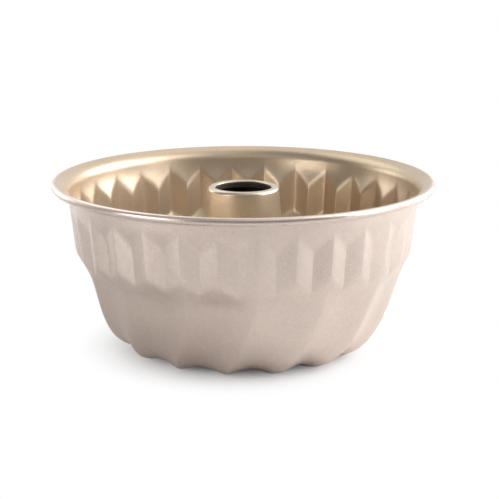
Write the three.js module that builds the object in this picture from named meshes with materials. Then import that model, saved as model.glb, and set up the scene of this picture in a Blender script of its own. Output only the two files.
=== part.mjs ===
// A fluted tube pan: a ring cake mould of coated sheet steel. Millimetres and degrees, +Z up.
// The origin is on the table, under the middle of the tube, and the front of the pan faces -Y.
import * as THREE from "three";

// Sheet, wire and fits
const sheet = 0.6;
const wireDiameter = 2.6;
const fit = 0.3; // left between pieces that are pressed together

// Rim and plain band
const rimDiameter = 220;
const panHeight = 98.8;
const flangeWidth = 8.5; // from the corner under the flange out to the edge of the rim
const flangeTilt = 30; // rise of the flange from level
const neckFillet = 8; // flare between band and flange, on the outside
const curlEnd = -150; // where the curl round the wire stops, turned from straight outwards
const wallTaper = 6.1; // lean of the band and of the ridges from upright

// Pleats of the upper wall
const pleatDepth = 3;
const bandHeight = 11.3; // from the top of the rim down to the first of the pleats
const shelfHeight = 11.7; // V-shaped shelf over each groove
const pleatFoot = 39; // from the top of the rim down to the foot of a ridge
const footHeight = 6; // shelf below each ridge, down to where the grooves end
const firstRidge = 4.25; // from the front, towards +X

// Swirled bowl: one swirl ridge below every second pleat
const swirlCount = 15;
const fluteTop = 2.8; // depth of a flute just below the pleats
const swirlDepth = 3.2; // and at the sole
const swirlTurn = -15.6; // from the top of a swirl ridge to the sole
const swirlEase = 1.45; // power by which the turn grows on the way down
const swirlStart = 6; // wall left plain between the pleats and the swirl
const ridgeLand = 1.7; // width of the crest of a swirl ridge
const crestForming = 0.2; // share of the swirl in which a crest narrows to that width
const heelReach = 26; // how far the heel runs out level from the sole
const heelHeight = 33.5; // height that the slope below the pleats points down to
const bowlTaper = 22; // lean of that slope from upright
const soleDiameter = 115; // outer edge of the level sole
const soleWidth = 8;

// Tube, its lip and its seam with the shell
const tubeHole = 32;
const tubeFoot = 56; // outside, inside the collar of the shell
const tubeDrop = 5; // from the top of the rim down to the lip
const lipEdge = 1.2; // bend into the hole, inside the sheet
const lipFlat = 0.4;
const lipShoulder = 1.8; // bend into the tapered wall, inside the sheet
const lipDepth = 4; // from the top of the lip down to the edge of the sheet in the hole
const seamHeight = 9.5; // underside of the shell beside the tube
const seamBend = 1.5; // bend of the shell into its collar
const collarDepth = 3; // straight collar held in the hook of the tube

// Fineness
const columnsPerSwirl = 8;
const riseSteps = 2;
const wallSteps = 5;
const neckSteps = 2;
const curlSteps = 6;
const tubeSides = 40;
const bendSteps = 3;
const wireSides = 6;

const rad = THREE.MathUtils.degToRad;
const point = (r, z) => new THREE.Vector2(r, z);
const unit = (angle) => point(Math.cos(angle), Math.sin(angle));
const columns = swirlCount * columnsPerSwirl;

// The wire sits inside the curl, which is the outermost and highest part of the pan.
const curlInside = wireDiameter / 2 + fit;
const curlOutside = curlInside + sheet;
const wireCentre = point(rimDiameter / 2 - curlOutside, panHeight - curlOutside);

// The band leans out to the corner under the flange, and the flange leads on to the curl.
const flangeAngle = rad(flangeTilt);
const taper = rad(wallTaper);
const bandDirection = unit(Math.PI / 2 - taper);
const flangeDirection = unit(flangeAngle);
const flangeEnd = unit(flangeAngle + Math.PI / 2).multiplyScalar(curlInside).add(wireCentre);
const flangeLength = (flangeEnd.x - rimDiameter / 2 + flangeWidth) / flangeDirection.x;
const corner = flangeEnd.clone().addScaledVector(flangeDirection, -flangeLength);
const bandRadius = (z) => corner.x - (corner.y - z) * Math.tan(taper);

// Heights of the pleats
const shelfTop = panHeight - bandHeight;
const shelfTip = shelfTop - shelfHeight;
const ridgeFoot = panHeight - pleatFoot;
const grooveFoot = ridgeFoot - footHeight;

// The seam: the collar of the shell hangs in the hook at the foot of the tube.
const collarRadius = tubeFoot / 2 + fit + sheet;
const collarTop = seamHeight - seamBend;
const collarTip = collarTop - collarDepth;
const crest = point(collarRadius + seamBend, seamHeight);

// Under the bowl: a rise from the level sole to the crest beside the tube.
const soleOuter = point(soleDiameter / 2, 0);
const soleInner = point(soleOuter.x - soleWidth, 0);
const riseMiddle = (crest.x + soleInner.x) / 2;
const rise = new THREE.CubicBezierCurve(
  crest,
  point(riseMiddle, crest.y),
  point(riseMiddle, soleInner.y),
  soleInner,
);

// The wall of the bowl: level at the sole, and sloped where the pleats end.
const wallTop = point(bandRadius(grooveFoot) - pleatDepth, grooveFoot);
const bowlSlope = Math.tan(rad(bowlTaper));
const wall = new THREE.CubicBezierCurve(
  soleOuter,
  point(soleOuter.x + heelReach, soleOuter.y),
  point(wallTop.x - bowlSlope * (wallTop.y - heelHeight), heelHeight),
  wallTop,
);
const wallLength = wall.getLength();
const riseLength = rise.getLength();

// How far a place on the bowl is down the swirl: 0 where a ridge starts, 1 at the edge of the sole.
const swirlProgress = (length) => Math.max(0, (length - swirlStart) / (wallLength - swirlStart));
const swirlAngle = (progress) => swirlTurn * progress ** swirlEase;

// A row is one ring of the sheet: a point of its outside face, the way that face looks, how far the
// swirl has turned there, half the width of a ridge as a share of the pitch, and the depth of the sheet
// at a share of the pitch.
const evenLand = 1 / columnsPerSwirl;
const noDepth = () => 0;
function plainRow(position, normal, progress) {
  return { position, normal, turn: swirlAngle(progress), land: evenLand, depth: noDepth };
}

// The pleats are a zigzag that is cut back by the V-shaped shelves above and by the slope below.
function pleatRow(z) {
  const upper = (pleatDepth * (shelfTop - z)) / shelfHeight;
  const lower = (pleatDepth * (ridgeFoot - z)) / footHeight;
  const zigzag = (share) => 1 - Math.abs(1 - 2 * ((2 * share) % 1));
  const depth = (share) => Math.max(0, lower, Math.min(pleatDepth * zigzag(share), upper));
  return { position: point(bandRadius(z), z), normal: unit(-taper), turn: 0, land: evenLand, depth };
}

// The swirl is a ring of hollow flutes, deepest at the sole and gone beside the tube.
function swirlRow(curve, share, length, strength) {
  const position = curve.getPointAt(share);
  const along = curve.getTangentAt(share);
  const progress = swirlProgress(length);
  const narrow = ridgeLand / 2 / ((position.x * 2 * Math.PI) / swirlCount);
  const land = THREE.MathUtils.lerp(evenLand, narrow, Math.min(1, progress / crestForming));
  const deepest = strength * THREE.MathUtils.lerp(fluteTop, swirlDepth, Math.min(1, progress));
  const depth = (at) => {
    const inFlute = (Math.min(at, 1 - at) - land) / (0.5 - land);
    return deepest * Math.sin((Math.PI / 2) * Math.max(0, inFlute));
  };
  return { position, normal: point(along.y, -along.x), turn: swirlAngle(progress), land, depth };
}

// All rings of the sheet, from the tip of the collar to the end of the curl.
function shellRows() {
  const rows = [];
  const beside = swirlProgress(wallLength + soleWidth + riseLength);
  rows.push(plainRow(point(collarRadius, collarTip), unit(0), beside));
  rows.push(plainRow(point(collarRadius, collarTop), unit(0), beside));
  for (let i = 0; i <= riseSteps; i++) {
    const share = i / riseSteps;
    rows.push(swirlRow(rise, share, wallLength + soleWidth + riseLength * (1 - share), share));
  }
  for (let i = 0; i < wallSteps; i++) {
    const share = i / wallSteps;
    rows.push(swirlRow(wall, share, wallLength * (1 - share), 1));
  }
  const heights = [
    grooveFoot,
    (grooveFoot + ridgeFoot) / 2,
    ridgeFoot,
    shelfTip,
    (shelfTip + shelfTop) / 2,
    shelfTop,
  ];
  heights.forEach((z) => rows.push(pleatRow(z)));

  const bend = Math.PI / 2 - taper - flangeAngle;
  const bendStart = corner.clone().addScaledVector(bandDirection, -neckFillet * Math.tan(bend / 2));
  const bendCentre = bendStart.clone().addScaledVector(unit(-taper), neckFillet);
  for (let i = 0; i <= neckSteps; i++) {
    const spoke = unit(Math.PI - taper - (bend * i) / neckSteps);
    const position = bendCentre.clone().addScaledVector(spoke, neckFillet);
    rows.push(plainRow(position, spoke.negate(), 0));
  }
  for (let i = 0; i <= curlSteps; i++) {
    const spoke = unit(rad(THREE.MathUtils.lerp(90 + flangeTilt, curlEnd, i / curlSteps)));
    const position = wireCentre.clone().addScaledVector(spoke, curlInside);
    rows.push(plainRow(position, spoke.negate(), 0));
  }
  return rows;
}

// Where column k of a swirl pitch stands: 0 on a ridge, then evenly from the edge of its crest.
function columnShare(k, land) {
  const half = columnsPerSwirl / 2;
  const near = Math.min(k, columnsPerSwirl - k);
  const share = near === 0 ? 0 : land + ((0.5 - land) * (near - 1)) / (half - 1);
  return k <= half ? share : 1 - share;
}

// One ring of vertices on a face of the sheet, which lies `behind` the outside face.
function addRing(vertices, row, behind) {
  for (let column = 0; column < columns; column++) {
    const pitch = Math.floor(column / columnsPerSwirl);
    const share = columnShare(column % columnsPerSwirl, row.land);
    const angle = rad(firstRidge + row.turn + ((pitch + share) * 360) / swirlCount);
    const inwards = -behind - row.depth(share);
    const at = row.position.clone().addScaledVector(row.normal, inwards);
    vertices.push(at.x * Math.sin(angle), -at.x * Math.cos(angle), at.y);
  }
}

// The shell: up the outside face, over the end of the curl, and down the inside face to the collar.
function shellGeometry() {
  const rows = shellRows();
  const vertices = [];
  rows.forEach((row) => addRing(vertices, row, 0));
  rows.toReversed().forEach((row) => addRing(vertices, row, sheet));
  const rings = rows.length * 2;
  const faces = [];
  for (let ring = 0; ring < rings; ring++) {
    const here = ring * columns;
    const above = ((ring + 1) % rings) * columns;
    for (let column = 0; column < columns; column++) {
      const next = (column + 1) % columns;
      faces.push(here + column, here + next, above + next);
      faces.push(here + column, above + next, above + column);
    }
  }
  const geometry = new THREE.BufferGeometry();
  geometry.setAttribute("position", new THREE.Float32BufferAttribute(vertices, 3));
  geometry.setIndex(faces);
  geometry.computeVertexNormals();
  return geometry;
}

// Points of an arc about a centre, from one angle to another.
function arcPoints(centre, radius, from, to) {
  const points = [];
  for (let i = 0; i <= bendSteps; i++) {
    const angle = THREE.MathUtils.lerp(from, to, i / bendSteps);
    points.push(unit(angle).multiplyScalar(radius).add(centre));
  }
  return points;
}

// The tube: from its hook round the collar, up the taper, over the lip and into the hole. The face
// towards the cake lies at `behind` 0, and the face towards the bore lies a sheet behind it.
function tubeFace(behind) {
  const footRadius = tubeFoot / 2;
  const hookCentre = point(collarRadius - sheet / 2, collarTip);
  const hookRadius = sheet / 2 + fit;
  const lipTop = panHeight - tubeDrop;
  const edgeBend = lipEdge + sheet;
  const shoulderBend = lipShoulder + sheet;
  const edgeCentre = point(tubeHole / 2 + edgeBend, lipTop - edgeBend);
  const shoulderCentre = point(edgeCentre.x + lipFlat, lipTop - shoulderBend);
  const topRadius = shoulderCentre.x + shoulderBend;
  const lean = Math.atan((footRadius - topRadius) / (shoulderCentre.y - collarTop));
  return [
    point(hookCentre.x + hookRadius + behind, collarTop),
    ...arcPoints(hookCentre, hookRadius + behind, 0, -Math.PI),
    point(footRadius - behind, collarTop),
    ...arcPoints(shoulderCentre, shoulderBend - behind, lean, Math.PI / 2),
    ...arcPoints(edgeCentre, edgeBend - behind, Math.PI / 2, Math.PI),
    point(tubeHole / 2 + behind, lipTop - lipDepth),
  ];
}

function tubeGeometry() {
  const outline = [...tubeFace(0), ...tubeFace(sheet).toReversed()];
  outline.push(outline[0].clone());
  const geometry = new THREE.LatheGeometry(outline, tubeSides);
  return geometry.rotateX(Math.PI / 2);
}

function wireGeometry() {
  const geometry = new THREE.TorusGeometry(wireCentre.x, wireDiameter / 2, wireSides, columns);
  return geometry.translate(0, 0, wireCentre.y);
}

const coat = { color: 0xcbb9ab, roughness: 0.42, metalness: 0.75 };
const coatInside = { color: 0xbca287, roughness: 0.3, metalness: 0.8 };
const wireSteel = { color: 0x9a9ca0, roughness: 0.45, metalness: 0.9 };

const pan = new THREE.Group();
function addPiece(name, geometry, finish) {
  const mesh = new THREE.Mesh(geometry, new THREE.MeshStandardMaterial(finish));
  mesh.name = name;
  pan.add(mesh);
}

addPiece("fluted_shell", shellGeometry(), coat);
addPiece("centre_tube", tubeGeometry(), coatInside);
addPiece("rim_wire", wireGeometry(), wireSteel);

export default pan;
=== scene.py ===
"""A fluted tube pan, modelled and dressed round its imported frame.

The pan is a drawn shell with a pleated wall and a swirled bowl, a tapered tube crimped into it, and the
wire that its rim is curled over. Sizes are millimetres and degrees unless a name says otherwise, and meshes
are metres. The front of the pan faces -Y.
"""

import logging
import math
from dataclasses import dataclass
from enum import Enum

import bpy
import numpy as np
from bpy.types import Material, Node, NodeSocket, NodeTree, Object
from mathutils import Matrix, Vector


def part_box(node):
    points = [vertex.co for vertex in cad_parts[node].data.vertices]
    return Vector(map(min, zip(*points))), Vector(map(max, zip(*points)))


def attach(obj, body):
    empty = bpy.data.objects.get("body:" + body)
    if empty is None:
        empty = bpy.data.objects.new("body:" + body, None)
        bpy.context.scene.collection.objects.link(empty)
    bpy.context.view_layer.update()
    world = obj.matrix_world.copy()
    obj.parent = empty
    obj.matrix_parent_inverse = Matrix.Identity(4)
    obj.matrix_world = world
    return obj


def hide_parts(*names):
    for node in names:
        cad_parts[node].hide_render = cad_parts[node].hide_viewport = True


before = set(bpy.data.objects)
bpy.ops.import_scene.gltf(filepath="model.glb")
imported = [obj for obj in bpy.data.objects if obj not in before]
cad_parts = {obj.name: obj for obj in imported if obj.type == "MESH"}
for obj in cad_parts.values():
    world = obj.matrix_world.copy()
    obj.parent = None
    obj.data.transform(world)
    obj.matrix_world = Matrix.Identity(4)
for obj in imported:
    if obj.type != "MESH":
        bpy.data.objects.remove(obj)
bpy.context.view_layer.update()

MM = 0.001
WELD = 0.01  # points closer than this are one
CREASE = 40.0  # an edge between faces that meet at more than this stays sharp
log = logging.getLogger("fluted_tube_pan")


def linear(hex_colour: str) -> tuple[float, float, float, float]:
    """Turns an sRGB hex colour into linear light.

    Args:
        hex_colour: Six hex digits after a hash sign.

    Returns:
        Red, green, blue and an alpha of 1.
    """
    channels = [int(hex_colour[i : i + 2], 16) / 255 for i in (1, 3, 5)]
    light = [c / 12.92 if c <= 0.04045 else ((c + 0.055) / 1.055) ** 2.4 for c in channels]
    return (*light, 1.0)


def per_mm(size: float) -> float:
    """Gives the texture scale at which a pattern repeats about every `size` millimetres."""
    return 1 / (size * MM)


def add_node(tree: NodeTree, kind: str, inputs: dict | None = None, **settings: object) -> Node:
    """Adds one shader node.

    Args:
        tree: The tree that gets the node.
        kind: The node's type.
        inputs: A value or an output socket for each input, by its name or place.
        settings: Properties of the node itself.

    Returns:
        The new node.
    """
    node = tree.nodes.new(kind)
    for name, value in settings.items():
        setattr(node, name, value)
    for key, value in (inputs or {}).items():
        if isinstance(value, NodeSocket):
            tree.links.new(value, node.inputs[key])
        else:
            node.inputs[key].default_value = value
    return node


def empty_material(name: str) -> Material:
    """Makes a node material with no nodes in it yet."""
    material = bpy.data.materials.new(name)
    material.use_nodes = True
    material.node_tree.nodes.clear()
    return material


def unit(degrees: float) -> Vector:
    """Gives the direction at an angle in the plane of radius and height."""
    angle = math.radians(degrees)
    return Vector((math.cos(angle), math.sin(angle)))


def direction(bearing: float, lift: float) -> Vector:
    """Gives the way from the pan to a place round it.

    Args:
        bearing: Angle from the front of the pan towards +X.
        lift: Angle above the table.

    Returns:
        The way, one unit long.
    """
    turned, lifted = math.radians(bearing), math.radians(lift)
    level = math.cos(lifted)
    return Vector((math.sin(turned) * level, -math.cos(turned) * level, math.sin(lifted)))


def arc(centre: Vector, radius: float, start: float, end: float, steps: int) -> list[Vector]:
    """Places points along a bend.

    Args:
        centre: Centre of the bend, as radius and height.
        radius: Radius of the bend.
        start: Angle of the first point.
        end: Angle of the last point.
        steps: Number of steps between them.

    Returns:
        The points, with both ends.
    """
    return [centre + unit(start + (end - start) * i / steps) * radius for i in range(steps + 1)]


def soft_min(a: np.ndarray, b: np.ndarray, blend: float) -> np.ndarray:
    """Takes the lesser of two values, and rounds the corner where they are within `blend` of each other."""
    nearness = np.maximum(blend - np.abs(a - b), 0) / blend
    return np.minimum(a, b) - nearness**2 * blend / 4


def select_only(piece: Object) -> None:
    """Leaves one object selected and active."""
    bpy.ops.object.select_all(action="DESELECT")
    piece.select_set(True)
    bpy.context.view_layer.objects.active = piece


def spin_profile(name: str, profile: list[Vector], steps: int) -> Object:
    """Turns a profile round the upright axis into an open skin.

    Args:
        name: Name of the new object.
        profile: Points of radius and height, in order.
        steps: Number of columns round the axis.

    Returns:
        The skin, with its doubles merged and its faces pointing one way.
    """
    bpy.ops.object.select_all(action="DESELECT")
    bpy.ops.mesh.primitive_plane_add(size=MM)
    piece = bpy.context.object
    piece.name = name
    piece.data.name = name
    bpy.ops.object.mode_set(mode="EDIT")
    bpy.ops.mesh.select_all(action="SELECT")
    bpy.ops.mesh.merge(type="CENTER")
    bpy.ops.transform.translate(value=(0, -profile[0].x * MM, profile[0].y * MM))
    for here, following in zip(profile, profile[1:]):
        step = (following - here) * MM
        bpy.ops.mesh.extrude_region_move(TRANSFORM_OT_translate={"value": (0, -step.x, step.y)})
    bpy.ops.mesh.select_all(action="SELECT")
    bpy.ops.mesh.spin(steps=steps, angle=math.tau, center=(0, 0, 0), axis=(0, 0, 1))
    bpy.ops.mesh.select_all(action="SELECT")
    bpy.ops.mesh.remove_doubles(threshold=WELD * MM)
    bpy.ops.mesh.normals_make_consistent(inside=False)
    bpy.ops.object.mode_set(mode="OBJECT")
    return piece


def face_skin(piece: Object, place: Vector, outwards: Vector) -> None:
    """Turns a skin so that its face nearest to a place looks the given way.

    Args:
        piece: The skin.
        place: A point in metres, close to the face.
        outwards: The way that the face has to look.
    """
    nearest = min(piece.data.polygons, key=lambda face: (face.center - place).length)
    if nearest.normal.dot(outwards) > 0:
        return
    select_only(piece)
    bpy.ops.object.mode_set(mode="EDIT")
    bpy.ops.mesh.select_all(action="SELECT")
    bpy.ops.mesh.flip_normals()
    bpy.ops.object.mode_set(mode="OBJECT")


def thicken(piece: Object, sheet: float, back_material: int) -> None:
    """Gives a skin the thickness of the sheet, behind the way that it faces.

    Args:
        piece: The skin.
        sheet: Thickness of the sheet.
        back_material: Place of the material for the back of the sheet.
    """
    select_only(piece)
    wall = piece.modifiers.new("sheet", "SOLIDIFY")
    wall.thickness = sheet * MM
    wall.offset = -1
    wall.use_even_offset = True
    wall.material_offset = back_material
    wall.material_offset_rim = back_material
    bpy.ops.object.modifier_apply(modifier=wall.name)


def smooth(piece: Object) -> None:
    """Shades a piece smooth, with its wide faces kept flat beside tight bends."""
    select_only(piece)
    bpy.ops.object.shade_smooth_by_angle(angle=math.radians(CREASE))
    weighting = piece.modifiers.new("flat_faces", "WEIGHTED_NORMAL")
    weighting.keep_sharp = True
    bpy.ops.object.modifier_apply(modifier=weighting.name)


def hand_over(piece: Object, node: str) -> None:
    """Puts a finished piece in the place of its solid.

    Args:
        piece: The finished piece.
        node: Name of the solid that it stands for.
    """
    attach(piece, "root")
    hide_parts(node)
    log.info("%s: %d faces, in the place of %s", piece.name, len(piece.data.polygons), node)


@dataclass(frozen=True)
class FlakeCoat:
    """Metallic non-stick coat, sprayed and baked on steel.

    Fine metal flakes under a satin resin give a soft, pearly gloss with a sparkle of light and dark grains.
    The real flakes are under 0.1 mm, and are drawn as coarse as they need to be to show.

    Attributes:
        name: Name of the material.
        colour: Colour of the light grains.
        shade: Colour of the dark grains.
        roughness: Mean roughness.
        metallic: How much of the light the flakes mirror.
        flake: Size of the grains.
        mottle: Size of the patches in which the spray lies thicker.
        drift: Size of the slow changes of tone across the pan.
        mottle_share: Share of the patches beside the grains.
        drift_share: Share of the slow changes beside both.
        noise_span: Values between which most of a noise lies.
        gloss_spread: How far the grains change the roughness.
        grain_height: Height of the grains.
    """

    name: str
    colour: str
    shade: str
    roughness: float
    metallic: float
    flake: float = 0.7
    mottle: float = 3.5
    drift: float = 45.0
    mottle_share: float = 0.3
    drift_share: float = 0.25
    noise_span: tuple[float, float] = (0.3, 0.7)
    gloss_spread: float = 0.05
    grain_height: float = 0.014

    def material(self) -> Material:
        """Makes the coat's material."""
        material = empty_material(self.name)
        tree = material.node_tree
        low, high = self.noise_span
        place = add_node(tree, "ShaderNodeTexCoord").outputs["Object"]
        grain = add_node(
            tree,
            "ShaderNodeTexNoise",
            {"Vector": place, "Scale": per_mm(self.flake), "Detail": 2.0, "Roughness": 0.6},
        )
        cloud = add_node(
            tree,
            "ShaderNodeTexNoise",
            {"Vector": place, "Scale": per_mm(self.drift), "Detail": 2.0, "Roughness": 0.5},
        )
        patches = add_node(
            tree,
            "ShaderNodeTexNoise",
            {"Vector": place, "Scale": per_mm(self.mottle), "Detail": 2.0, "Roughness": 0.5},
        )
        speckle = add_node(
            tree,
            "ShaderNodeMix",
            {"Factor": self.mottle_share, "A": grain.outputs["Fac"], "B": patches.outputs["Fac"]},
            data_type="FLOAT",
        )
        blend = add_node(
            tree,
            "ShaderNodeMix",
            {"Factor": self.drift_share, "A": speckle.outputs["Result"], "B": cloud.outputs["Fac"]},
            data_type="FLOAT",
        )
        tint = add_node(
            tree,
            "ShaderNodeMapRange",
            {"Value": blend.outputs["Result"], "From Min": low, "From Max": high},
        )
        colour = add_node(
            tree,
            "ShaderNodeMix",
            {"Factor": tint.outputs["Result"], 6: linear(self.shade), 7: linear(self.colour)},
            data_type="RGBA",
        )
        gloss = add_node(
            tree,
            "ShaderNodeMapRange",
            {
                "Value": grain.outputs["Fac"],
                "From Min": low,
                "From Max": high,
                "To Min": self.roughness + self.gloss_spread,
                "To Max": self.roughness - self.gloss_spread,
            },
        )
        bump = add_node(
            tree,
            "ShaderNodeBump",
            {"Height": grain.outputs["Fac"], "Strength": 1.0, "Distance": self.grain_height * MM},
        )
        shader = add_node(
            tree,
            "ShaderNodeBsdfPrincipled",
            {
                "Base Color": colour.outputs[2],
                "Metallic": self.metallic,
                "Roughness": gloss.outputs["Result"],
                "Normal": bump.outputs["Normal"],
            },
        )
        add_node(tree, "ShaderNodeOutputMaterial", {"Surface": shader.outputs["BSDF"]})
        return material


@dataclass(frozen=True)
class DrawnWire:
    """Bright steel wire, pulled through a die, which leaves fine lines along it."""

    name: str = "drawn_steel_wire"
    colour: str = "#b9babd"
    shade: str = "#8f9196"
    roughness: float = 0.34
    line: float = 0.12

    def material(self) -> Material:
        """Makes the wire's material."""
        material = empty_material(self.name)
        tree = material.node_tree
        place = add_node(tree, "ShaderNodeTexCoord").outputs["Object"]
        lines = add_node(
            tree,
            "ShaderNodeTexWave",
            {"Vector": place, "Scale": per_mm(self.line) / math.tau, "Distortion": 3.0, "Detail": 2.0},
            bands_direction="Z",
        )
        colour = add_node(
            tree,
            "ShaderNodeMix",
            {"Factor": lines.outputs["Fac"], 6: linear(self.shade), 7: linear(self.colour)},
            data_type="RGBA",
        )
        shader = add_node(
            tree,
            "ShaderNodeBsdfPrincipled",
            {"Base Color": colour.outputs[2], "Metallic": 1.0, "Roughness": self.roughness},
        )
        add_node(tree, "ShaderNodeOutputMaterial", {"Surface": shader.outputs["BSDF"]})
        return material


class Coats(Enum):
    """The coats of the pan. The bore of the tube has a dull dark one with little metal in it, which is
    painted shade for the little light that gets into the narrow bore.
    """

    OUTSIDE = FlakeCoat("champagne_coat_outside", "#dacbc1", "#ccbbb0", 0.31, 0.78)
    INSIDE = FlakeCoat("champagne_coat_inside", "#d0bea6", "#c2ac92", 0.34, 0.7)
    TUBE = FlakeCoat("champagne_coat_tube", "#cfc2b0", "#c0b19d", 0.32, 0.75)
    # Painted shade: this dark coat stands for the shade inside the narrow bore, which is no darker a coat
    # than the tube's.
    BORE_PAINTED_SHADE = FlakeCoat("bore_painted_shade", "#4a4038", "#3d342d", 0.6, 0.4)


@dataclass(frozen=True)
class Ring:
    """One ring of the outside face of the shell.

    Attributes:
        radius: Radius before the flutes are pressed.
        height: Height at a ridge.
        outwards: The way that the face looks, in radius and height.
        turn: How far the swirl has turned at this ring.
        flute: Depth of the hollow flutes.
        dip: How much lower the ring lies in a groove of the pleats than on a ridge.
        pleated: Whether the ring lies on the pleated wall.
    """

    radius: float
    height: float
    outwards: Vector
    turn: float = 0.0
    flute: float = 0.0
    dip: float = 0.0
    pleated: bool = False


@dataclass
class FlutedShell:
    """The drawn shell: collar, swirled bowl, pleated wall, plain band, flange and curled rim."""

    rim_radius: float
    pan_height: float
    sheet: float = 0.6
    fit: float = 0.3
    wire_diameter: float = 2.6
    tube_foot: float = 56.0

    # Rim and plain band
    flange_width: float = 8.5
    flange_tilt: float = 30.0
    neck_fillet: float = 8.0
    curl_end: float = -150.0
    wall_taper: float = 6.1

    # Pleats of the upper wall
    pleat_depth: float = 3.0
    band_height: float = 11.3
    shelf_height: float = 11.7
    pleat_foot: float = 39.0
    foot_height: float = 6.0
    first_ridge: float = 4.25

    # Half the widths of the bends of a pleat
    ridge_bend: float = 0.8
    groove_bend: float = 0.6
    shelf_bend: float = 1.4  # along the V-shaped edge of a shelf
    band_bend: float = 2.2  # where a shelf runs out into the band
    foot_bend: float = 1.6  # along the lower edge of the pleats
    bowl_bend: float = 5.0  # where the shelf below a ridge runs out into the bowl

    # Swirled bowl
    swirl_count: int = 15
    flute_top: float = 2.8  # depth of a flute just below the pleats
    swirl_depth: float = 3.2  # and at the sole
    flute_start: float = -5.0  # where the flutes start to form, down from the foot of the grooves
    flute_formed: float = 12.0  # and where they have formed
    swirl_turn: float = -15.6
    swirl_ease: float = 1.45
    swirl_start: float = 6.0
    crest_bend: float = 1.5  # half the width of the crest of a swirl ridge
    heel_reach: float = 26.0
    heel_height: float = 33.5
    bowl_taper: float = 22.0
    sole_diameter: float = 115.0
    sole_width: float = 8.0

    # Collar beside the tube
    seam_height: float = 9.5
    seam_bend: float = 1.5
    collar_depth: float = 3.0

    # Fineness
    columns_per_pleat: int = 16
    crowding: float = 0.9  # how much the columns crowd along ridges and grooves
    curve_samples: int = 400
    tangent_reach: float = 0.2  # how far to both sides the slope of a curve is measured
    rise_rows: int = 10
    bowl_rows: int = 24
    neck_steps: int = 10
    curl_steps: int = 16
    collar_angles: tuple[int, ...] = (180, 150, 120)

    # Rows of the pleats, as heights on a ridge and in a groove, crowded along the bends
    low_row: tuple[float, float] = (1.2, 1.0)  # above the top of the swirl
    foot_rows: tuple[float, ...] = (-2.4, -1.2, -0.6, -0.2, 0.2, 0.6, 1.2, 2.4)  # from the lower edge
    shelf_rows: tuple[tuple[float, float], ...] = (
        (-6.0, -3.0),
        (-4.8, -1.5),
        (-3.8, 0.0),
        (-3.0, 1.5),
        (-2.3, 3.0),
    )  # from the top of a shelf and from its tip
    top_rows: tuple[tuple[float, float], ...] = (
        (-1.5, -4.5),
        (-0.7, -2.8),
        (0.2, -1.2),
        (1.2, 0.5),
        (2.4, 2.2),
    )  # from the top of a shelf

    def __post_init__(self) -> None:
        """Works out the points that the profile is built from."""
        self.pleat_count = 2 * self.swirl_count
        self.columns = self.pleat_count * self.columns_per_pleat
        self.curl_inside = self.wire_diameter / 2 + self.fit
        curl_outside = self.curl_inside + self.sheet
        self.wire_centre = Vector((self.rim_radius - curl_outside, self.pan_height - curl_outside))

        flange_way = unit(self.flange_tilt)
        flange_end = self.wire_centre + unit(self.flange_tilt + 90) * self.curl_inside
        flange_length = (flange_end.x - self.rim_radius + self.flange_width) / flange_way.x
        self.corner = flange_end - flange_way * flange_length

        self.shelf_top = self.pan_height - self.band_height
        self.shelf_tip = self.shelf_top - self.shelf_height
        self.ridge_foot = self.pan_height - self.pleat_foot
        self.groove_foot = self.ridge_foot - self.foot_height

        self.collar_radius = self.tube_foot / 2 + self.fit + self.sheet
        self.collar_top = self.seam_height - self.seam_bend
        crest = Vector((self.collar_radius + self.seam_bend, self.seam_height))
        sole_outer = Vector((self.sole_diameter / 2, 0))
        sole_inner = Vector((sole_outer.x - self.sole_width, 0))
        middle = (crest.x + sole_inner.x) / 2
        self.rise = self._curve(crest, Vector((middle, crest.y)), Vector((middle, 0)), sole_inner)

        wall_top = Vector((self.band_radius(self.groove_foot) - self.pleat_depth, self.groove_foot))
        self.bowl_slope = math.tan(math.radians(self.bowl_taper))
        heel = sole_outer + Vector((self.heel_reach, 0))
        bank = Vector((wall_top.x - self.bowl_slope * (wall_top.y - self.heel_height), self.heel_height))
        self.wall = self._curve(sole_outer, heel, bank, wall_top)
        self.wall_length = self.wall[-1, 2]
        self.rise_length = self.rise[-1, 2]

    def _curve(self, start: Vector, leave: Vector, arrive: Vector, end: Vector) -> np.ndarray:
        """Samples a cubic curve.

        Args:
            start: First point.
            leave: Handle of the first point.
            arrive: Handle of the last point.
            end: Last point.

        Returns:
            Rows of radius, height and length from the start.
        """
        t = np.linspace(0, 1, self.curve_samples)[:, None]
        ends = (1 - t) ** 3 * np.array(start) + t**3 * np.array(end)
        points = ends + 3 * (1 - t) ** 2 * t * np.array(leave) + 3 * (1 - t) * t**2 * np.array(arrive)
        steps = np.hypot(*np.diff(points, axis=0).T)
        return np.column_stack([points, np.concatenate([[0], np.cumsum(steps)])])

    def band_radius(self, height: float | np.ndarray) -> float | np.ndarray:
        """Gives the outside radius of the plain band, carried on down the ridges of the pleats."""
        return self.corner.x - (self.corner.y - height) * math.tan(math.radians(self.wall_taper))

    def bowl_radius(self, height: np.ndarray) -> np.ndarray:
        """Gives the outside radius of the bowl, carried on up the shelf below the ridges."""
        on_wall = np.interp(height, self.wall[:, 1], self.wall[:, 0])
        above = height - self.groove_foot
        shelf_slope = self.pleat_depth / self.foot_height + math.tan(math.radians(self.wall_taper))
        on_shelf = -soft_min(-above, np.zeros_like(above), 2 * self.bowl_bend)
        return on_wall + np.maximum(above, 0) * self.bowl_slope + on_shelf * (shelf_slope - self.bowl_slope)

    def progress(self, length: float | np.ndarray) -> float | np.ndarray:
        """Tells how far down the swirl a place is: 0 where a ridge starts, 1 at the edge of the sole."""
        return np.maximum(0.0, (length - self.swirl_start) / (self.wall_length - self.swirl_start))

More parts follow.
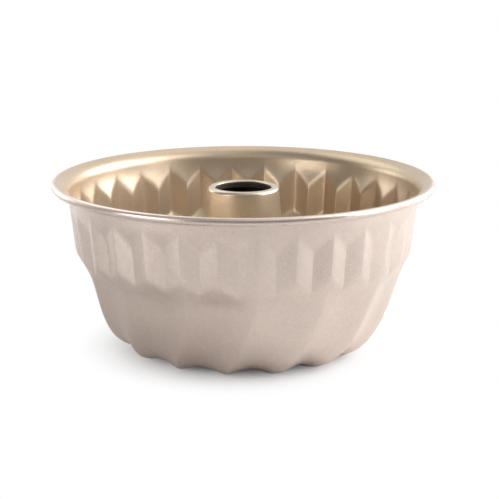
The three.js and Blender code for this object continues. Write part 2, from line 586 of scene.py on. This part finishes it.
    def flute_depth(self, length: float | np.ndarray) -> float | np.ndarray:
        """Gives the depth of the flutes at a length down from the foot of the grooves."""
        share = np.clip((length - self.flute_start) / (self.flute_formed - self.flute_start), 0, 1)
        down = np.minimum(self.progress(length), 1)
        deepest = self.flute_top + (self.swirl_depth - self.flute_top) * down
        return share**2 * (3 - 2 * share) * deepest

    def turn(self, progress: float) -> float:
        """Tells how far the swirl has turned at a place."""
        return self.swirl_turn * progress**self.swirl_ease

    def _bowl_ring(self, curve: np.ndarray, at: float, length: float, strength: float) -> Ring:
        """Places one ring of the bowl.

        Args:
            curve: Rows of radius, height and length.
            at: Length along the curve.
            length: Length from the foot of the pleats.
            strength: Share of the full depth of the flutes.

        Returns:
            The ring.
        """
        radius, height = (np.interp(at, curve[:, 2], curve[:, i]) for i in (0, 1))
        ends = np.clip([at - self.tangent_reach, at + self.tangent_reach], 0, curve[-1, 2])
        along = Vector([np.diff(np.interp(ends, curve[:, 2], curve[:, i]))[0] for i in (0, 1)])
        along.normalize()
        turn = self.turn(self.progress(length))
        depth = strength * self.flute_depth(length)
        return Ring(radius, height, Vector((along.y, -along.x)), turn, depth)

    def _bowl_rings(self) -> list[Ring]:
        """Lists the rings from the tip of the collar to where the swirl starts."""
        beside = self.wall_length + self.sole_width + self.rise_length
        turn = self.turn(self.progress(beside))
        rings = [Ring(self.collar_radius, self.collar_top - self.collar_depth, unit(0), turn)]
        bend_centre = Vector((self.collar_radius + self.seam_bend, self.collar_top))
        for angle in self.collar_angles:
            place = bend_centre + unit(angle) * self.seam_bend
            rings.append(Ring(place.x, place.y, unit(angle + 180), turn))
        for share in np.linspace(0, 1, self.rise_rows):
            length = beside - self.rise_length * share
            rings.append(self._bowl_ring(self.rise, self.rise_length * share, length, share))
        for at in np.linspace(0, self.wall_length - self.swirl_start, self.bowl_rows):
            rings.append(self._bowl_ring(self.wall, at, self.wall_length - at, 1.0))
        return rings

    def _pleat_rings(self) -> list[Ring]:
        """Lists the rings of the pleated wall, which follow the slanted ends of the pleats."""
        start = np.interp(self.wall_length - self.swirl_start, self.wall[:, 2], self.wall[:, 1])
        low = (start + self.low_row[0], start + self.low_row[1])
        foot = [(self.ridge_foot + row, self.groove_foot + row) for row in self.foot_rows]
        shelf = [(self.shelf_top + ridge, self.shelf_tip + groove) for ridge, groove in self.shelf_rows]
        top = [(self.shelf_top + ridge, self.shelf_top + groove) for ridge, groove in self.top_rows]
        pairs = [low]
        pairs += self._between(low, foot[0], 3)
        pairs += foot
        pairs += self._between(foot[-1], shelf[0], 5)
        pairs += shelf
        pairs += self._between(shelf[-1], top[0], 3)
        pairs += top
        face = unit(-self.wall_taper)
        return [
            Ring(self.band_radius(ridge), ridge, face, dip=ridge - groove, pleated=True)
            for ridge, groove in pairs
        ]

    @staticmethod
    def _between(
        low: tuple[float, float],
        high: tuple[float, float],
        steps: int,
    ) -> list[tuple[float, float]]:
        """Gives the pairs of heights between two others, in even steps, without the two."""
        shares = [i / steps for i in range(1, steps)]
        return [tuple(a + (b - a) * s for a, b in zip(low, high)) for s in shares]

    def _rim_rings(self) -> list[Ring]:
        """Lists the rings of the flared neck, the flange and the curl."""
        face = unit(-self.wall_taper)
        bend = 90 - self.wall_taper - self.flange_tilt
        tangent = self.neck_fillet * math.tan(math.radians(bend / 2))
        start = self.corner - unit(90 - self.wall_taper) * tangent
        centre = start + face * self.neck_fillet
        first = 180 - self.wall_taper
        neck = arc(centre, self.neck_fillet, first, first - bend, self.neck_steps)
        rings = [Ring(place.x, place.y, (centre - place).normalized()) for place in neck]
        first = 90 + self.flange_tilt
        curl = arc(self.wire_centre, self.curl_inside, first, self.curl_end, self.curl_steps)
        rings += [Ring(place.x, place.y, (self.wire_centre - place).normalized()) for place in curl]
        return rings

    def rings(self) -> list[Ring]:
        """Lists every ring of the outside face, from the collar to the end of the curl."""
        return self._bowl_rings() + self._pleat_rings() + self._rim_rings()

    def _column_shares(self) -> np.ndarray:
        """Places the columns in the pitch of a pleat, crowded on its ridge and in its groove."""
        even = np.arange(self.columns_per_pleat) / self.columns_per_pleat
        return even - self.crowding * np.sin(2 * math.tau * even) / (2 * math.tau)

    def _rounded(self, distance: np.ndarray, bend: float) -> np.ndarray:
        """Rounds off the point of a distance from a line, within `bend` of the line."""
        return np.where(distance < bend, (distance**2 / bend + bend) / 2, distance)

    def _zigzag(self, share: np.ndarray, radius: float) -> np.ndarray:
        """Gives the depth of the pleats as a share of the full one.

        Args:
            share: Place in the pitch of a pleat, 0 on a ridge.
            radius: Radius of the wall.

        Returns:
            0 on a ridge and 1 in a groove, with rounded points.
        """
        pitch = math.tau * radius / self.pleat_count
        near_ridge = np.minimum(share, 1 - share)
        from_ridge = self._rounded(near_ridge, self.ridge_bend / pitch)
        from_groove = self._rounded(0.5 - near_ridge, self.groove_bend / pitch)
        return np.where(from_ridge < 0.25, 2 * from_ridge, 1 - 2 * from_groove)

    def _hollow(self, share: np.ndarray, radius: float) -> np.ndarray:
        """Gives the depth of the flutes as a share of the full one.

        Args:
            share: Place in the pitch of a swirl, 0 on a ridge.
            radius: Radius of the bowl.

        Returns:
            0 on a ridge, with a rounded crest, and 1 in the middle of a flute.
        """
        crest = self.crest_bend / (math.tau * radius / self.swirl_count)
        near = np.hypot(np.minimum(share, 1 - share), crest) - crest
        return np.sin(math.pi / 2 * near / (math.hypot(0.5, crest) - crest))

    def _pleated(
        self,
        ring: Ring,
        in_pleat: np.ndarray,
        in_swirl: np.ndarray,
    ) -> tuple[np.ndarray, np.ndarray]:
        """Presses one ring of the pleated wall, down to where the flutes have formed.

        Args:
            ring: The ring.
            in_pleat: Place of each column in the pitch of a pleat.
            in_swirl: Place of each column in the pitch of a swirl.

        Returns:
            Radius and height of each column.
        """
        zigzag = self._zigzag(in_pleat, ring.radius)
        height = ring.height - ring.dip * zigzag
        slope = self.pleat_depth / self.shelf_height
        shelf = (self.shelf_top - height) * slope
        cut = soft_min(zigzag * self.pleat_depth, shelf, 2 * self.shelf_bend * slope)
        depth = -soft_min(-cut, np.zeros_like(cut), 2 * self.band_bend * slope)
        pleat = self.band_radius(height) - depth
        length = (self.groove_foot - height) * math.hypot(1, self.bowl_slope)
        flute = self.flute_depth(length) * self._hollow(in_swirl, ring.radius)
        blend = 2 * self.foot_bend * self.pleat_depth / self.foot_height
        return soft_min(pleat, self.bowl_radius(height) - flute, blend), height

    def _fluted(self, ring: Ring, share: np.ndarray) -> tuple[np.ndarray, np.ndarray]:
        """Presses one ring of the bowl, the band or the rim.

        Args:
            ring: The ring.
            share: Place of each column in the pitch of a swirl, 0 on a ridge.

        Returns:
            Radius and height of each column.
        """
        depth = ring.flute * self._hollow(share, ring.radius)
        return ring.radius - ring.outwards.x * depth, ring.height - ring.outwards.y * depth

    def _press(self, piece: Object, rings: list[Ring]) -> None:
        """Moves the columns of the spun skin to the pressed shape.

        Args:
            piece: The spun skin.
            rings: Its rings, in order.
        """
        spots = np.empty(len(piece.data.vertices) * 3)
        piece.data.vertices.foreach_get("co", spots)
        spots = spots.reshape(-1, 3)
        profile = np.array([(ring.radius, ring.height) for ring in rings]) * MM
        across = np.column_stack([np.hypot(spots[:, 0], spots[:, 1]), spots[:, 2]])
        ring_of = np.argmin(((across[:, None, :] - profile[None]) ** 2).sum(axis=2), axis=1)
        round_ = np.arctan2(spots[:, 0], -spots[:, 1]) / math.tau
        column_of = np.rint(round_ * self.columns).astype(int) % self.columns

        pleat = np.arange(self.columns) // self.columns_per_pleat
        in_pleat = np.tile(self._column_shares(), self.pleat_count)
        in_swirl = (pleat % 2 + in_pleat) / 2
        around = (pleat + in_pleat) * math.tau / self.pleat_count
        placed = np.empty((len(rings), self.columns, 3))
        for i, ring in enumerate(rings):
            if ring.pleated:
                radius, height = self._pleated(ring, in_pleat, in_swirl)
            else:
                radius, height = self._fluted(ring, in_swirl)
            angle = np.radians(self.first_ridge + ring.turn) + around
            placed[i] = np.column_stack([radius * np.sin(angle), -radius * np.cos(angle), height])
        piece.data.vertices.foreach_set("co", (placed[ring_of, column_of] * MM).ravel())
        piece.data.update()

    def build(self) -> Object:
        """Models the shell.

        Returns:
            The shell, with the inside of its sheet up to the curl in the second material slot.
        """
        rings = self.rings()
        piece = spin_profile("shell", [Vector((ring.radius, ring.height)) for ring in rings], self.columns)
        self._press(piece, rings)
        front = Vector((0, -self.band_radius(self.shelf_top) * MM, self.shelf_top * MM))
        face_skin(piece, front, Vector((0, -1, 0)))
        piece.data.materials.append(None)
        piece.data.materials.append(None)
        thicken(piece, self.sheet, 1)
        for face in piece.data.polygons:
            if face.center.xy.length > self.wire_centre.x * MM:
                face.material_index = 0
        smooth(piece)
        return piece

    def dress(self, piece: Object, outside: Material, inside: Material) -> None:
        """Coats the shell.

        Args:
            piece: The shell.
            outside: Coat of the outside.
            inside: Coat of the inside, up to the curl of the rim.
        """
        piece.data.materials[0] = outside
        piece.data.materials[1] = inside
        hand_over(piece, "fluted_shell")


@dataclass
class CentreTube:
    """The tapered tube, with a turned-in lip and a hook round the collar of the shell."""

    shell: FlutedShell
    lip_top: float
    hole: float = 32.0
    lip_edge: float = 1.2
    lip_flat: float = 0.4
    lip_shoulder: float = 1.8
    lip_depth: float = 4.0
    bore_shade_edge: float = 0.3  # how far round the bend of the lip the painted shade of the bore reaches
    columns: int = 192
    bend_steps: int = 8
    wall_steps: int = 12

    def profile(self) -> list[Vector]:
        """Lists the points of the face towards the cake, from the hook to the edge in the hole."""
        shell = self.shell
        foot = shell.tube_foot / 2
        collar_tip = shell.collar_top - shell.collar_depth
        hook_centre = Vector((shell.collar_radius - shell.sheet / 2, collar_tip))
        hook = shell.sheet / 2 + shell.fit
        edge = self.lip_edge + shell.sheet
        shoulder = self.lip_shoulder + shell.sheet
        edge_centre = Vector((self.hole / 2 + edge, self.lip_top - edge))
        shoulder_centre = Vector((edge_centre.x + self.lip_flat, self.lip_top - shoulder))
        top = shoulder_centre.x + shoulder
        lean = math.degrees(math.atan((foot - top) / (shoulder_centre.y - shell.collar_top)))
        wall_foot = Vector((foot, shell.collar_top))
        bend = arc(shoulder_centre, shoulder, lean, 90, self.bend_steps)
        wall = [wall_foot.lerp(bend[0], i / self.wall_steps) for i in range(self.wall_steps)]
        return [
            hook_centre + Vector((hook, shell.collar_depth)),
            *arc(hook_centre, hook, 0, -180, self.bend_steps),
            *wall,
            *bend,
            *arc(edge_centre, edge, 90, 180, self.bend_steps),
            Vector((self.hole / 2, self.lip_top - self.lip_depth)),
        ]

    def build(self) -> Object:
        """Models the tube."""
        piece = spin_profile("tube", self.profile(), self.columns)
        middle = Vector((0, -self.shell.tube_foot / 2 * MM, self.lip_top / 2 * MM))
        face_skin(piece, middle, Vector((0, -1, 0)))
        piece.data.materials.append(None)
        piece.data.materials.append(None)
        # The back of the sheet, which lines the bore, and the inner edge of the lip take the second slot:
        # the dark coat that paints the shade of the bore.
        thicken(piece, self.shell.sheet, 1)
        for face in piece.data.polygons:
            if face.center.xy.length < (self.hole / 2 + self.bore_shade_edge) * MM:
                face.material_index = 1
        smooth(piece)
        return piece

    def dress(self, piece: Object, coat: Material, bore: Material) -> None:
        """Coats the tube.

        Args:
            piece: The tube.
            coat: Coat of the face towards the cake, over the lip.
            bore: Dark coat of the bore, which is painted shade.
        """
        piece.data.materials[0] = coat
        piece.data.materials[1] = bore
        hand_over(piece, "centre_tube")


@dataclass
class RimWire:
    """The wire in the curl of the rim, bent to a ring with its ends butted."""

    shell: FlutedShell
    butt_gap: float = 0.2
    sides: int = 20
    steps: int = 240

    def build(self) -> Object:
        """Models the wire.

        Returns:
            The ring of wire, with its two ends closed.
        """
        centre = self.shell.wire_centre
        bpy.ops.object.select_all(action="DESELECT")
        bpy.ops.mesh.primitive_circle_add(
            vertices=self.sides,
            radius=self.shell.wire_diameter / 2 * MM,
            location=(0, centre.x * MM, centre.y * MM),
            rotation=(0, math.pi / 2, 0),
        )
        piece = bpy.context.object
        piece.name = "wire"
        piece.data.name = "wire"
        bpy.ops.object.transform_apply(location=True, rotation=True, scale=True)
        bpy.ops.object.mode_set(mode="EDIT")
        bpy.ops.mesh.select_all(action="SELECT")
        turn = math.tau - self.butt_gap / centre.x
        bpy.ops.mesh.spin(steps=self.steps, angle=turn, center=(0, 0, 0), axis=(0, 0, 1))
        bpy.ops.mesh.select_all(action="SELECT")
        bpy.ops.mesh.fill_holes(sides=self.sides)
        bpy.ops.mesh.select_all(action="SELECT")
        bpy.ops.mesh.normals_make_consistent(inside=False)
        bpy.ops.object.mode_set(mode="OBJECT")
        piece.data.materials.append(None)
        smooth(piece)
        return piece

    def dress(self, piece: Object, steel: Material) -> None:
        """Gives the wire its finish."""
        piece.data.materials[0] = steel
        hand_over(piece, "rim_wire")


@dataclass(frozen=True)
class Softbox:
    """One large soft lamp that looks at the pan.

    Attributes:
        name: Name of the lamp.
        bearing: Where it stands, turned from the front of the pan towards +X.
        lift: Its angle above the table.
        distance: Distance from the pan, in metres.
        width: Width, in metres.
        height: Height, in metres.
        power: Power in watts.
    """

    name: str
    bearing: float
    lift: float
    distance: float
    width: float
    height: float
    power: float


@dataclass
class Studio:
    """A white table, soft lamps and the camera."""

    aim_height: float = 50.0
    camera_distance: float = 826.0
    camera_lift: float = 14.25
    lens: float = 101.8
    shift: tuple[float, float] = (0.0122, 0.0196)
    table: float = 6.0  # side of the table, in metres
    white_near: tuple[float, float] = (0.045, 0.1)  # where the shade of the pan runs out, in metres
    white_far: tuple[float, float] = (1.0, 2.0)  # where the table in a gloss turns into background
    lamps: tuple[Softbox, ...] = (
        Softbox("right_panel", 98, 33, 2.0, 2.0, 1.0, 22.0),
        Softbox("upper_right", 80, 52, 0.5, 0.3, 0.3, 0.45),
        Softbox("top_panel", 90, 72, 1.5, 1.7, 1.3, 3.8),
        Softbox("right_low", 110, 12, 0.42, 0.2, 0.2, 0.25),
        Softbox("front_right_low", 70, 12, 0.42, 0.2, 0.2, 0.3),
        Softbox("front_left_low", -50, 13, 0.42, 0.2, 0.2, 0.48),
        Softbox("front_upper", -12, 50, 0.5, 0.6, 0.3, 0.25),
        Softbox("back_left", -135, 50, 0.5, 0.3, 0.3, 0.35),
        Softbox("back_left_low", -125, 12, 0.42, 0.2, 0.2, 0.3),
        Softbox("back_right", 120, 24, 0.8, 0.4, 0.24, 2.3),
    )
    room: float = 0.12  # brightness of the surroundings as light, where the background is 1
    backdrop: tuple[float, float] = (-0.1, 0.5)  # share of +Y in a way at which white starts and is full
    table_grey: float = 0.9  # how much light the table gives back

    def build_table(self) -> None:
        """Makes the white table: matt where the pan shades it, and plain white to the eye further off."""
        bpy.ops.object.select_all(action="DESELECT")
        bpy.ops.mesh.primitive_plane_add(size=self.table)
        table = bpy.context.object
        table.name = "table"
        material = empty_material("white_table")
        tree = material.node_tree
        path = add_node(tree, "ShaderNodeLightPath")
        matt = add_node(tree, "ShaderNodeBsdfDiffuse", {"Color": (*[self.table_grey] * 3, 1)})
        white = add_node(tree, "ShaderNodeEmission", {"Strength": 1.0})
        place = add_node(tree, "ShaderNodeTexCoord").outputs["Object"]
        reach = add_node(tree, "ShaderNodeVectorMath", {0: place}, operation="LENGTH").outputs["Value"]
        direct = add_node(
            tree,
            "ShaderNodeMath",
            {0: path.outputs["Is Camera Ray"], 1: path.outputs["Is Transmission Ray"]},
            operation="MAXIMUM",
        )
        near = self._white_beyond(tree, reach, direct.outputs["Value"], self.white_near)
        far = self._white_beyond(tree, reach, path.outputs["Is Glossy Ray"], self.white_far)
        fade = add_node(tree, "ShaderNodeMath", {0: near, 1: far}, operation="MAXIMUM")
        surface = add_node(
            tree,
            "ShaderNodeMixShader",
            {0: fade.outputs["Value"], 1: matt.outputs["BSDF"], 2: white.outputs["Emission"]},
        )
        add_node(tree, "ShaderNodeOutputMaterial", {"Surface": surface.outputs["Shader"]})
        table.data.materials.append(material)

    @staticmethod
    def _white_beyond(
        tree: NodeTree,
        reach: NodeSocket,
        seen: NodeSocket,
        edge: tuple[float, float],
    ) -> NodeSocket:
        """Turns the table white to one kind of ray.

        Args:
            tree: The table's nodes.
            reach: Distance from the middle of the pan, in metres.
            seen: 1 for that kind of ray.
            edge: Distances at which the white starts and is full.

        Returns:
            The share of white.
        """
        away = add_node(
            tree,
            "ShaderNodeMapRange",
            {"Value": reach, "From Min": edge[0], "From Max": edge[1]},
            interpolation_type="SMOOTHSTEP",
        )
        share = add_node(tree, "ShaderNodeMath", {0: away.outputs["Result"], 1: seen}, operation="MULTIPLY")
        return share.outputs["Value"]

    @staticmethod
    def _seen_directly(tree: NodeTree) -> NodeSocket:
        """Gives 1 for what the camera sees, also in a gloss or through glass, and 0 for light."""
        path = add_node(tree, "ShaderNodeLightPath")
        gloss = add_node(
            tree,
            "ShaderNodeMath",
            {0: path.outputs["Is Camera Ray"], 1: path.outputs["Is Glossy Ray"]},
            operation="MAXIMUM",
        )
        glass = add_node(
            tree,
            "ShaderNodeMath",
            {0: gloss.outputs["Value"], 1: path.outputs["Is Transmission Ray"]},
            operation="MAXIMUM",
        )
        return glass.outputs["Value"]

    def build_world(self) -> None:
        """Makes the surroundings: white to the eye, dim as light, and in a gloss white behind the pan."""
        world = bpy.data.worlds.new("studio")
        world.use_nodes = True
        tree = world.node_tree
        tree.nodes.clear()
        way = add_node(tree, "ShaderNodeTexCoord").outputs["Generated"]
        parts = add_node(tree, "ShaderNodeSeparateXYZ", {"Vector": way})
        behind = add_node(
            tree,
            "ShaderNodeMapRange",
            {
                "Value": parts.outputs["Y"],
                "From Min": self.backdrop[0],
                "From Max": self.backdrop[1],
                "To Min": self.room,
            },
        )
        path = add_node(tree, "ShaderNodeLightPath")
        shown = add_node(
            tree,
            "ShaderNodeMath",
            {0: path.outputs["Is Camera Ray"], 1: behind.outputs["Result"]},
            operation="MAXIMUM",
        )
        strength = add_node(
            tree,
            "ShaderNodeMix",
            {0: self._seen_directly(tree), 2: self.room, 3: shown.outputs["Value"]},
            data_type="FLOAT",
        )
        background = add_node(
            tree,
            "ShaderNodeBackground",
            {"Color": (1, 1, 1, 1), "Strength": strength.outputs[0]},
        )
        add_node(tree, "ShaderNodeOutputWorld", {"Surface": background.outputs["Background"]})
        bpy.context.scene.world = world

    def build_lamps(self) -> None:
        """Sets up the softboxes."""
        aim = Vector((0, 0, self.aim_height * MM))
        for box in self.lamps:
            way = direction(box.bearing, box.lift)
            lamp = bpy.data.lights.new(box.name, "AREA")
            lamp.shape = "RECTANGLE"
            lamp.size = box.width
            lamp.size_y = box.height
            lamp.energy = box.power
            holder = bpy.data.objects.new(box.name, lamp)
            holder.location = aim + way * box.distance
            holder.rotation_euler = way.to_track_quat("Z", "Y").to_euler()
            holder.visible_camera = False
            bpy.context.scene.collection.objects.link(holder)

    def build_camera(self) -> None:
        """Sets up the camera at the angle of the photograph."""
        camera = bpy.data.cameras.new("camera")
        camera.lens = self.lens
        camera.shift_x, camera.shift_y = self.shift
        holder = bpy.data.objects.new("camera", camera)
        back = direction(0, self.camera_lift)
        holder.location = Vector((0, 0, self.aim_height * MM)) + back * self.camera_distance * MM
        holder.rotation_euler = back.to_track_quat("Z", "Y").to_euler()
        bpy.context.scene.collection.objects.link(holder)
        bpy.context.scene.camera = holder

    def build(self) -> None:
        """Sets up the whole studio."""
        bpy.context.scene.view_settings.view_transform = "Standard"
        self.build_camera()
        self.build_table()
        self.build_world()
        self.build_lamps()


def main() -> None:
    """Builds the pan and the studio."""
    logging.basicConfig(level=logging.INFO, format="%(name)s: %(message)s")
    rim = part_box("fluted_shell")[1] / MM
    outside = Coats.OUTSIDE.value.material()
    inside = Coats.INSIDE.value.material()

    shell = FlutedShell(rim_radius=rim.x, pan_height=rim.z)
    shell.dress(shell.build(), outside, inside)
    tube = CentreTube(shell, lip_top=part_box("centre_tube")[1].z / MM)
    # The bore gets a dark coat as painted shade.
    tube.dress(tube.build(), Coats.TUBE.value.material(), Coats.BORE_PAINTED_SHADE.value.material())
    wire = RimWire(shell)
    wire.dress(wire.build(), DrawnWire().material())

    Studio().build()


if __name__ == "__main__":
    main()
